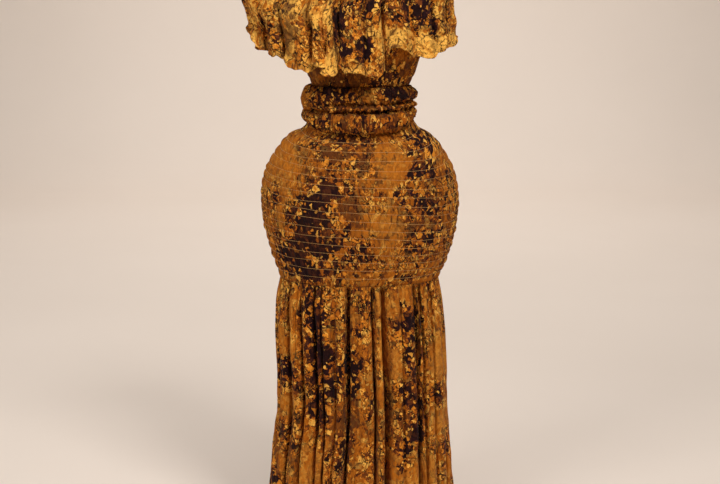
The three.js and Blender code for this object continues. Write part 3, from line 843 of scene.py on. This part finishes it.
# ---- The shirred body ---------------------------------------------------------------------------
# Front and back body panels, drawn up on rows of elastic thread from the waist to the hip seam.
# At the waist the cloth is pushed down into three soft rolls.
Roll = namedtuple("Roll", "right front left back half_width front_depth back_depth fuller_right")
ROLLS = table(
    Roll,
    (-248, -248, -248, -248, 113, 95, 88, 0), (-256, -253, -254, -254, 127, 110, 99, 0),
    (-272, -265, -265, -267, 134, 119, 107, 0), (-287, -279, -277, -280, 133, 116, 105, 0),
    (-296, -286, -283, -288, 122, 102, 96, 8), (-298, -295, -292, -295, 133, 119, 107, -2),
    (-303, -305, -301, -304, 121, 100, 95, 0), (-306, -311, -304, -309, 131, 120, 109, 0),
    (-317, -330, -311, -320, 133, 129, 114, 0), (-325, -347, -317, -331, 130, 123, 111, 0),
    (-331, -352, -322, -337, 122, 104, 99, 0),
)
WAIST_SHIFT = -5
HIP_SECTIONS = table(
    Section,
    (-310, 121, 96, 98, -3), (-332, 136, 104, 106, -3), (-358, 162, 117, 124, -3),
    (-396, 193, 134, 146, -3), (-434, 215, 146, 162, -4), (-472, 227, 153, 173, -4),
    (-515, 231.5, 157, 178, -3), (-560, 228, 156, 174, -3), (-605, 219, 151, 165, -2),
    (-650, 205, 143, 153, -2), (-682, 192, 137, 145, -3), (-700, 187, 134, 142, -5),
)
SHIRRING_ROWS = 18
SHIRRING_TILT = 0.05
TUCKED_ROWS = 2
ROWS_A_ROLL = 6
ROWS_A_BAND = 5
BODY_COLUMNS = {"front": 261, "back": 221}
ROLL_CREASES = {
    "front": table(
        Crease,
        (-128, -251, -113, -289, 2.5, 4), (-94, -253, -37, -283, 3, 5), (-59, -250, 15, -276, 3, 5),
        (-21, -250, 56, -281, 3, 5), (31, -250, 88, -274, 3, 5), (65, -250, 112, -270, 2.5, 4),
        (-100, -306, -112, -335, 2, 3), (-69, -308, -76, -345, 2, 3), (-40, -306, -42, -346, 2, 3),
        (-8, -308, -4, -349, 2, 3), (19, -309, 30, -344, 2, 3), (50, -306, 64, -338, 2, 3),
        (78, -302, 92, -330, 2, 3),
    ),
    "back": table(
        Crease,
        (120, -252, 104, -286, 2.5, 4), (86, -250, 30, -280, 3, 5), (40, -252, -20, -278, 3, 5),
        (-14, -250, -70, -278, 3, 5), (-66, -252, -108, -272, 2.5, 4), (96, -306, 106, -330, 2, 3),
        (58, -308, 62, -334, 2, 3), (10, -306, 14, -336, 2, 3), (-34, -308, -40, -336, 2, 3),
        (-82, -306, -94, -330, 2, 3),
    ),
}
BODY_PLUM = {
    "front": table(
        Cloud,
        (-74, -466, 32, 26, 1.2), (-104, -519, 40, 44, 1.3), (-112, -580, 48, 36, 1.35),
        (-135, -636, 48, 30, 1.35), (-37, -365, 75, 20, 0.7), (136, -373, 32, 22, 0.9),
        (135, -433, 34, 28, 1.1), (131, -512, 60, 24, 0.8), (131, -586, 32, 38, 1.0),
        (-199, -499, 22, 20, 1.0), (40, -488, 28, 12, 0.5), (-6, -606, 34, 40, 0.8),
        (183, -588, 34, 66, 0.4), (-110, -676, 80, 16, 0.8), (100, -678, 60, 14, 0.5),
        (-60, -600, 100, 80, 0.2), (-186, -416, 50, 56, -0.8), (67, -410, 44, 30, -0.8),
        (64, -562, 60, 46, -0.9), (-68, -252, 42, 16, 1.2), (62, -256, 56, 18, 0.8),
        (10, -266, 24, 12, -0.6), (-100, -282, 30, 10, 0.7), (-80, -268, 70, 14, 0.3),
        (90, -268, 50, 16, 0.7), (70, -325, 50, 14, 0.6), (-20, -328, 70, 16, 0.4),
        (0, -296, 120, 8, 0.35), (-110, -322, 30, 14, 0.5),
    ),
    "back": table(
        Cloud,
        (90, -440, 50, 50, 0.9), (60, -540, 60, 50, 1.0), (-110, -480, 50, 40, 0.8),
        (-150, -600, 40, 50, 0.9), (10, -640, 60, 30, 0.7), (-30, -400, 40, 30, 0.6),
        (150, -620, 40, 40, 0.6), (-30, -520, 50, 50, -0.9), (170, -480, 40, 50, -0.8),
        (-170, -420, 50, 40, -0.8), (0, -260, 50, 16, 0.9),
    ),
}
BODY_VEIL = {
    "front": table(
        Cloud,
        (-42, -412, 62, 50, 1.3), (-28, -529, 36, 30, 0.9), (130, -560, 60, 60, 0.5),
        (-120, -600, 60, 60, 0.6), (60, -300, 60, 20, 0.5), (0, -330, 150, 24, 0.2),
        (-40, -290, 60, 20, 0.5),
    ),
    "back": [Cloud(0, -450, 60, 50, 0.8), Cloud(-120, -560, 60, 50, 0.6), Cloud(120, -600, 60, 50, 0.6)],
}
ROLL_WANDER = Layer(2.6, 40, 40)
ROLL_TWISTS = Layer(6.5, 8, 60)
ROLL_FINE_TWISTS = Layer(2.5, 4.5, 30)
ROLL_SWELLS = Layer(2.0, 46, 30)
ROLL_FACES = Layer(4.0, 12, 44)
THREAD_WANDER = Layer(1.8, 70, 30)
HIP_PLEATS = Layer(4.0, 6, 50)
HIP_SWELLS = Layer(1.2, 30, 24)
HIP_FACES = Layer(2.0, 14, 15)
shirred_cotton = printed_cotton(
    "shirred_cotton", bright=0.34, crinkle_size=0.006, crinkle_depth=0.004, crinkle_length=2.4
)


def level_at(row, angle):
    """A roll's level at any angle, from its levels at the sides, the front and the back. It hangs
    level across the front and the back, and climbs to the sides."""
    quarter = (angle + 90) % 360 / 90
    stops = np.array([row.right, row.front, row.left, row.back, row.right], float)
    k = np.minimum(quarter.astype(int), 3)
    turn = (quarter - k) * math.pi / 2
    share = np.where(k % 2 == 0, ease(np.sin(turn)), 1 - ease(np.cos(turn)))
    return mix(stops[k], stops[k + 1], share)


def body_panel(side, start, end, seed):
    """One body panel: the grid of points, with the rows where the elastic threads run."""
    angle = np.linspace(start, end, BODY_COLUMNS[side])
    rings = []
    from_seam = 90 - abs(angle % 180 - 90)
    for number, r in enumerate(ROLLS):
        wander = bumps(angle * 2.1 + 60 * number, 0 * angle, ROLL_WANDER, seed + 9)
        wander = ROLL_WANDER.height * wander * ease(from_seam / 20)
        level = level_at(r, angle) + (wander if 0 < number < len(ROLLS) - 1 else 0)
        fuller = r.fuller_right * ease((-np.sin(np.radians(angle)) - 0.3) / 0.4)
        sizes = r.half_width, r.front_depth, r.back_depth, WAIST_SHIFT
        rings.append(on_section(*sizes, angle, level, fuller))
    rings = np.stack(rings)
    place = np.linspace(0, len(ROLLS) - 1, (len(ROLLS) - 1) * ROWS_A_ROLL + 1)
    Ring = namedtuple("Ring", "at value")
    rolls = np.empty((len(place), len(angle), 3))
    for i, axis in np.ndindex(len(angle), 3):
        line = [Ring(number, value) for number, value in enumerate(rings[:, i, axis])]
        rolls[:, i, axis] = curve(line, "at", place, "value")
    row = np.linspace(0, SHIRRING_ROWS, SHIRRING_ROWS * ROWS_A_BAND + 1)[1:, None]
    share = row / SHIRRING_ROWS
    tuck = level_at(ROLLS[-1], angle)[None, :]
    flat = mix(tuck, -700.0, share)
    aside = np.sin(np.radians(angle))
    lean = SHIRRING_TILT * curve(HIP_SECTIONS, "at", flat, "half_width")
    lean = lean * (aside + 1.2 * np.maximum(aside, 0) ** 2)
    wander = THREAD_WANDER.height * bumps(angle * 4, row * 40, THREAD_WANDER, seed + 8)
    wander = wander * ease(from_seam / 12) * ease(row / 3) * ease((SHIRRING_ROWS - row) / 2)
    z = flat - lean * np.sin(math.pi * share) + wander
    half_width, front_depth, back_depth, shift = section_at(HIP_SECTIONS, z)
    under = ease(row / TUCKED_ROWS)
    low = ROLLS[-1]
    half_width = mix(low.half_width, half_width, under)
    front_depth = mix(low.front_depth, front_depth, under)
    back_depth = mix(low.back_depth, back_depth, under)
    puff = np.abs(np.sin(math.pi * row)) ** 0.6
    hips = on_section(half_width, front_depth, back_depth, shift, angle[None, :], z)
    points = np.concatenate([rolls, hips])
    across, down = cloth_lengths(points, row=len(rolls) + 8 * ROWS_A_BAND)

    roll_rows = len(rolls)
    relief = np.zeros(points.shape[:2])
    rolled, beside = down[:roll_rows], across[:roll_rows]
    leaning = mix(0.1, 0.6, ease((beside / across.max() - 0.3) / 0.3))
    upper = np.minimum(rolled, rolled[ROWS_A_ROLL * 4])
    slant = beside - leaning * (rolled - upper) - 1.5 * upper
    twisted = gathers(slant, rolled, ROLL_TWISTS, seed)
    finer = gathers(slant, rolled, ROLL_FINE_TWISTS, seed + 6)
    relief[:roll_rows] = ROLL_TWISTS.height * twisted + ROLL_FINE_TWISTS.height * finer
    relief[:roll_rows] += ROLL_SWELLS.height * bumps(slant, rolled, ROLL_SWELLS, seed + 1)
    relief[:roll_rows] += ROLL_FACES.height * facets(slant, rolled, ROLL_FACES, seed + 5)
    relief[:roll_rows] += pressed(points[:roll_rows], ROLL_CREASES[side])
    numbers = np.floor(row - 1e-9)
    hip_across, hip_down = across[roll_rows:], down[roll_rows:]
    pucker = gathers(hip_across + 7.3 * numbers, numbers * HIP_PLEATS.length, HIP_PLEATS, seed + 2)
    puffed = 1.6 + HIP_PLEATS.height * pucker
    puffed += HIP_SWELLS.height * bumps(hip_across, hip_down, HIP_SWELLS, seed + 3)
    puffed += HIP_FACES.height * facets(hip_across, hip_down, HIP_FACES, seed + 4)
    relief[roll_rows:] = puff * puffed - 0.4 * (1 - puff)
    edges = np.minimum(across, across.max() - across)
    relief *= mix(0.3, 1, ease(edges / 14))
    relief *= ease(down / 5)
    points = points + outward(points) * relief[..., None]
    points[..., 1] -= SEAM_GAP * inwards(side)
    plum = cloud_strength(points, BODY_PLUM[side])
    veil_and_shade = cloud_strength(points, BODY_VEIL[side])
    # Painted shade along the twists of the rolls and in the puckers between the elastic threads, added
    # to the printed brown veils.
    veil_and_shade[:roll_rows] += 1.1 * crease_shade(twisted) + 0.5 * crease_shade(finer)
    veil_and_shade[roll_rows:] += 0.8 * puff * crease_shade(pucker)
    middle = across.max() / 2
    spread = mix(0.8, 1.2, ease((down - down[roll_rows]) / 150))
    flat_across = middle + (across - middle) * spread
    name = "body_" + side + "_cloth"
    piece = cloth_piece(name, points, flat_across, down, shirred_cotton, plum, veil_and_shade, seed * PRINT_STEP)
    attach(piece, "root")
    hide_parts("body_" + side)
    thread_rows = [roll_rows - 1 + k * ROWS_A_BAND for k in range(1, SHIRRING_ROWS)]
    return piece, points, thread_rows


BODY_PANELS = [body_panel("front", -90, 90, 21), body_panel("back", 90, 270, 31)]

# Elastic thread in the seventeen dips between the puffed bands of shirring: a fine pale thread, sewn
# through from the outside so that it shows between its stitches.
THREAD = 0.36
thread_material = twisted_thread("elastic_thread", rgb(176, 116, 56), rgb(248, 192, 114), 420.0, 0.55)
for side, (piece, points, thread_rows) in zip(("front", "back"), BODY_PANELS):
    normals = outward(points)
    lines = [sewn_line(points[row], normals[row], 0.4, 2.1, row) for row in thread_rows]
    threads = thread_piece("body_" + side + "_threads", lines, thread_material, THREAD)
    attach(threads, "root")

# ---- The bodice ---------------------------------------------------------------------------------
# Plain front and back bodice panels, sewn to the body at the waist and narrowing above the
# underarms to leave an open armhole at each side.
BODICE_SECTIONS = table(
    Section,
    (-8, 205, 118, 106, -10), (-60, 176, 128, 104, -6), (-122, 152, 132, 102, -3),
    (-165, 143, 127, 99, -3), (-205, 127, 112, 95, -2), (-232, 119, 103, 92, -1),
    (-248, 113, 95, 88, -2),
)
UNDERARM = -122
NECK_REACH = 43
BODICE_ROWS = 55
BODICE_COLUMNS = 131
BODICE_PLUM = {
    "front": [Cloud(60, -235, 50, 22, 0.6), Cloud(-50, -246, 34, 14, 0.7), Cloud(-95, -225, 24, 30, -0.8)],
    "back": [Cloud(-40, -150, 50, 60, 0.8), Cloud(70, -220, 40, 30, 0.7), Cloud(0, -80, 60, 40, -0.6)],
}
# Painted shadow: a darker brown band across the bodice just under the flounce, where the flounce shades
# it.
BODICE_PAINTED_SHADOW = [Cloud(0, -215, 150, 36, 1.0)]
BODICE_TOP = -8.3
BODICE_WAIST = -247.7
BODICE_GATHERS = Layer(1.6, 8, 60)
BODICE_SWELLS = Layer(1.8, 30, 80)
BODICE_FACES = Layer(6.0, 26, 30)
Puff = namedtuple("Puff", "x z half_width half_height height")
BODICE_PUFF = Puff(105, -205, 40, 26, 4.5)
bodice_cotton = printed_cotton("bodice_cotton", bright=0.2, crinkle_size=0.014, crinkle_depth=0.006)


def bodice_panel(side, middle, seed):
    """One bodice panel: full width at the waist, and narrower above the underarms."""
    z = np.linspace(BODICE_TOP, BODICE_WAIST, BODICE_ROWS)[:, None]
    rise = np.maximum(0, (z - UNDERARM) / (BODICE_TOP - UNDERARM))
    reach = mix(90, NECK_REACH, np.sqrt(rise))
    angle = middle + reach * np.linspace(-1, 1, BODICE_COLUMNS)[None, :]
    inset = -4 * ease(rise * 3)
    points = on_section(*section_at(BODICE_SECTIONS, z), angle, z, inset)
    across, down = cloth_lengths(points, row=BODICE_ROWS // 2)
    above_waist = 240 - down
    at_waist = bumps(across, down, BODICE_GATHERS, seed)
    relief = BODICE_GATHERS.height * np.exp(-above_waist / 30) * at_waist
    relief += BODICE_SWELLS.height * bumps(across, down, BODICE_SWELLS, seed + 1)
    at_neck = bumps(across, down, BODICE_GATHERS, seed + 2)
    relief += BODICE_GATHERS.height * np.exp(-down / 30) * at_neck
    relief += BODICE_FACES.height * facets(across, down, BODICE_FACES, seed + 3)
    if side == "front":
        puff = ((points[..., 0] - BODICE_PUFF.x) / BODICE_PUFF.half_width) ** 2
        puff += ((points[..., 2] - BODICE_PUFF.z) / BODICE_PUFF.half_height) ** 2
        relief += BODICE_PUFF.height * np.exp(-puff)
    edges = np.minimum(across, across.max() - across)
    relief *= mix(0.2, 1, ease(edges / 12)) * ease(down / 5) * ease(above_waist / 5)
    points = points + outward(points) * relief[..., None]
    points[..., 1] -= SEAM_GAP * inwards(side)
    plum = cloud_strength(points, BODICE_PLUM[side])
    # The painted shadow under the flounce goes into the same attribute as the brown veils.
    veil_and_shade = cloud_strength(points, BODICE_PAINTED_SHADOW)
    name = "bodice_" + side + "_cloth"
    piece = cloth_piece(name, points, across * 1.2, down, bodice_cotton, plum, veil_and_shade, seed * PRINT_STEP)
    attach(piece, "root")
    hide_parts("bodice_" + side)


bodice_panel("front", 0, 41)
bodice_panel("back", 180, 51)

# ---- The flounce --------------------------------------------------------------------------------
# A deep flounce, gathered hard onto the neck casing. It puffs out over the arms and falls in round
# deep folds to a wavy, crumpled hem, narrow and turned under, which is lifted at the sides.
FLOUNCE_SECTIONS = table(
    Section,
    (0, 205, 118, 106, -10), (0.12, 229, 138, 122, -18), (0.35, 243, 158, 140, -31),
    (0.65, 238, 164, 146, -24), (1, 235, 164, 150, -20),
)
HemLevel = namedtuple("HemLevel", "at z")
FLOUNCE_HEM = table(
    HemLevel,
    (-90, -114), (-77, -122), (-66, -138), (-58, -166), (-50, -176), (-44, -174), (-40, -190),
    (-33, -200), (-26, -206), (-23, -200), (-20.5, -188), (-16, -202), (-11, -220), (-8, -190),
    (-3, -208), (4, -216), (12, -222), (17, -210), (19, -178), (22, -162), (27, -153), (33, -170),
    (40, -180), (47, -177), (53, -167), (62, -166), (77, -154), (90, -128), (104, -160), (118, -172),
    (126, -188), (138, -186), (150, -206), (160, -196), (172, -214), (184, -204), (197, -212),
    (208, -192), (222, -200), (234, -176), (247, -168), (258, -138), (270, -114),
)
FLOUNCE_TOP = -8.3
FLOUNCE_GATHERS = Layer(4.0, 6, 60)
FLOUNCE_LONG_CREASES = Layer(5.0, 17, 120)
FLOUNCE_LONG_FACES = Layer(9.0, 19, 90)
FLOUNCE_CRUMPLES = Layer(2.0, 12, 13)
FLOUNCE_LOW_FACES = Layer(14.0, 23, 22)
FLOUNCE_CURLED_EDGE = Layer(6.0, 11, 12)
FLOUNCE_JAGS = Layer(9.0, 11, 30)
FLOUNCE_WAVES = Layer(3.0, 24, 30)
TurnedUp = namedtuple("TurnedUp", "angle half_width height")
FLOUNCE_TURNED_UP = [TurnedUp(-13, 5, 14.0), TurnedUp(40, 14, 8.4)]
FLOUNCE_ROWS = 80
FLOUNCE_COLUMNS = {"front": (12, 0.62), "back": (8, 0.9)}
FLOUNCE_TURNED = 5
FLOUNCE_FOLDS = {
    "front": table(
        Fold,
        (-76, -74, 18), (-58, -57, 24), (-40, -42, 32), (-22, -22, 36), (-12, -15, 16), (-4, -8, 36),
        (8, 7, 20), (20, 18.5, 38), (36, 36, 18), (52, 52, 16), (71, 69, 26),
    ),
    "back": table(
        Fold,
        (106, 107, 18), (121, 120, 22), (134, 136, 26), (149, 151, 28), (164, 162, 20), (177, 178, 30),
        (192, 194, 20), (207, 208, 28), (223, 222, 24), (239, 238, 20), (254, 255, 16),
    ),
}
FLOUNCE_PLUM = {
    "front": table(
        Cloud,
        (-51, -95, 17, 40, 1.3), (4, -160, 24, 34, 1.1), (-33, -163, 12, 16, 1.1),
        (28, -58, 30, 24, 1.1), (126, -66, 34, 34, 1.1), (92, -96, 40, 22, 0.6),
        (104, -140, 10, 12, 0.9), (158, -122, 12, 16, 0.9), (-201, -118, 18, 40, 0.6),
        (-150, -165, 46, 40, -0.4), (-150, -80, 36, 50, -0.5), (80, -120, 24, 24, -0.8),
        (15, -206, 50, 14, -1.0), (130, -148, 60, 26, -0.9), (-76, -194, 26, 22, -0.9),
        (-78, -90, 14, 60, -0.7), (40, -120, 20, 30, -0.7), (-95, -120, 20, 50, -0.4),
    ),
    "back": table(
        Cloud,
        (-150, -90, 40, 40, 0.8), (-40, -130, 40, 50, 1.0), (90, -90, 40, 40, 0.9),
        (170, -130, 30, 40, 0.7), (30, -70, 30, 30, -0.7), (-100, -160, 30, 30, -0.7),
    ),
}
FLOUNCE_CREASES = {
    "front": table(
        Crease,
        (-126, -52, -156, -108, 3, 6), (-205, -60, -196, -104, 3, 5), (-170, -120, -132, -150, 4, 5),
        (-92, -60, -86, -130, 3, 5), (-20, -70, -14, -140, 3, 5), (30, -100, 38, -190, 3, 5),
        (76, -50, 84, -120, 3, 5), (98, -128, 128, -156, 4, 6), (140, -60, 132, -124, 3, 5),
        (150, -130, 178, -150, 4, 5),
    ),
    "back": table(
        Crease,
        (150, -56, 160, -120, 3, 6), (100, -60, 92, -140, 3, 5), (50, -54, 58, -130, 3, 6),
        (0, -60, -6, -150, 3, 5), (-60, -54, -52, -130, 3, 6), (-120, -60, -128, -150, 3, 5),
        (-180, -56, -172, -110, 3, 5), (30, -150, 62, -180, 4, 5), (-90, -150, -120, -176, 4, 5),
    ),
}
FLOUNCE_VEIL = [Cloud(-150, -120, 50, 60, 0.6), Cloud(60, -90, 40, 30, 0.3)]
flounce_cotton = printed_cotton("flounce_cotton", bright=0.93, crinkle_size=0.012, crinkle_depth=0.0065)


def flounce_panel(side, start, end, seed):
    """One flounce panel: gathers at the casing that open into deep folds with a crumpled hem."""
    drop = np.linspace(0, 1, FLOUNCE_ROWS)
    folds, columns = FLOUNCE_FOLDS[side], FLOUNCE_COLUMNS[side]
    angle, depth, free = fold_columns(folds, start, end, drop, *columns, pinch=0.3, soft=0.45)
    drop = drop[:, None]
    growth = mix(0.9, 0.75, ease(drop)) * ease(drop * 5)
    hem = curve(FLOUNCE_HEM, "at", angle, "z")
    clear = 1.4 * (1 - ease(drop))
    z = mix(FLOUNCE_TOP, hem, drop)
    aside = np.abs(np.sin(np.radians(angle)))
    folded_in = depth * growth * (1 - 0.5 * aside)
    points = on_section(*section_at(FLOUNCE_SECTIONS, drop), angle, z, -folded_in - clear)
    points = fold_in(points, depth * growth, angle, side)
    across, down = cloth_lengths(points, row=FLOUNCE_ROWS - 1)
    to_hem = down.max() - down
    gathered = gathers(across, down, FLOUNCE_GATHERS, seed)
    relief = FLOUNCE_GATHERS.height * np.exp(-down / 26) * ease(down / 5) * gathered
    long_creases = gathers(across + 0.15 * down, down, FLOUNCE_LONG_CREASES, seed + 1)
    relief += FLOUNCE_LONG_CREASES.height * ease(down / 40) * long_creases
    faces = facets(across + 0.1 * down, down, FLOUNCE_LONG_FACES, seed + 2)
    relief += FLOUNCE_LONG_FACES.height * ease(down / 30) * faces
    crumples = facets(across, down, FLOUNCE_CRUMPLES, seed + 5)
    relief += FLOUNCE_CRUMPLES.height * ease(down / 30) * crumples
    low_faces = facets(across + 0.2 * down, down, FLOUNCE_LOW_FACES, seed + 6)
    relief += FLOUNCE_LOW_FACES.height * ease(drop * 3 - 1.4) * low_faces
    curled = 1 + 1.6 * facets(across, down, FLOUNCE_CURLED_EDGE, seed + 3)
    relief += FLOUNCE_CURLED_EDGE.height * np.exp(-to_hem / 14) * curled
    relief += pressed(points, FLOUNCE_CREASES[side])
    if side == "front":
        for place in FLOUNCE_TURNED_UP:
            turned = np.exp(-(((angle - place.angle) / place.half_width) ** 2))
            relief += place.height * turned * ease(drop * 3 - 2)
    edges = np.minimum(across, across.max() - across)
    relief *= free * ease(edges / 12)
    points = points + outward(points) * relief[..., None]
    uneven = FLOUNCE_JAGS.height * facets(across, 0 * down, FLOUNCE_JAGS, seed + 4)
    uneven += FLOUNCE_WAVES.height * bumps(across, 0 * down, FLOUNCE_WAVES, seed + 8)
    points[..., 2] += uneven * ease(drop * 3 - 2) * ease(edges / 12)
    points[..., 1] -= SEAM_GAP * inwards(side)
    plum = cloud_strength(points, FLOUNCE_PLUM[side])
    # Painted shade along the long creases, added to the printed brown veils.
    veil_and_shade = cloud_strength(points, FLOUNCE_VEIL) + 0.8 * crease_shade(long_creases)
    stitches = stitched_row("flounce_" + side + "_stitches", points, -3, stitch_material)
    points, across, down, plum, veil_and_shade = turned_hem(points, across, down, plum, veil_and_shade, FLOUNCE_TURNED)
    name = "flounce_" + side + "_cloth"
    piece = cloth_piece(name, points, across, down, flounce_cotton, plum, veil_and_shade, seed * PRINT_STEP)
    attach(stitches, "root")
    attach(piece, "root")
    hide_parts("flounce_" + side)


flounce_panel("front", -90, 90, 61)
flounce_panel("back", 90, 270, 71)

# ---- The neck casing ----------------------------------------------------------------------------
# A folded strip of the same cotton, sewn into a narrow tube over flat elastic, which gathers it.
# The flounce and the bodice are sewn to it.
NECK = (205, 118, 106, -10)
NECK_RADIUS = 170
CASING_COLUMNS = 420
CASING_FULLNESS = 1.6
CASING_STEP = 4.2
CASING_PRINT = 9.1
Corner = namedtuple("Corner", "out height")
CASING_OUTLINE = table(
    Corner,
    (0, -7.6), (0.6, -4), (0.8, 0), (0.6, 4), (0, 7.6),
    (-3, 8), (-6.6, 7.6), (-7, 0), (-6.6, -7.6), (-3, -8),
)
CASING_CRINKLES = Layer(0.7, 7, 10)
CASING_SWELLS = Layer(0.4, 15, 10)
CASING_CLOUDS = Layer(0.5, 40, 10)
casing_cotton = printed_cotton("casing_cotton", bright=0.5, crinkle_size=0.008, crinkle_depth=0.004)
angle = np.linspace(-90, 270, CASING_COLUMNS, endpoint=False)
arc = np.radians(angle + 90) * NECK_RADIUS
casing_points = []
for number, (out, height) in enumerate(CASING_OUTLINE):
    crinkle = CASING_CRINKLES.height * bumps(arc, 0 * arc, CASING_CRINKLES, 81)
    crinkle += CASING_SWELLS.height * bumps(arc, 0 * arc, CASING_SWELLS, 82 + number)
    facing = 1 if number < 5 else 0.4
    out += facing * (crinkle - 0.8)
    casing_points.append(on_section(*NECK, angle, height + 0.3 * crinkle, out))
casing_points = np.stack(casing_points)
corners = len(CASING_OUTLINE)
ids = np.arange(corners * CASING_COLUMNS).reshape(corners, CASING_COLUMNS)
below, beside = np.roll(ids, -1, axis=0), np.roll(ids, -1, axis=1)
quads = np.stack([ids, beside, np.roll(beside, -1, axis=0), below], axis=-1).reshape(-1, 4)
casing = mesh_object("neck_casing_cloth", casing_points.reshape(-1, 3) * MM, quads, casing_cotton)
clouds = CASING_CLOUDS.height * bumps(ids * 1.0 % CASING_COLUMNS, 0.0 * ids, CASING_CLOUDS, 91)
round_tube = np.arange(corners)[:, None] * CASING_STEP * MM + CASING_PRINT
lay_flat(casing, arc * CASING_FULLNESS * MM, round_tube, clouds, clouds)
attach(casing, "root")
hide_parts("neck_casing")
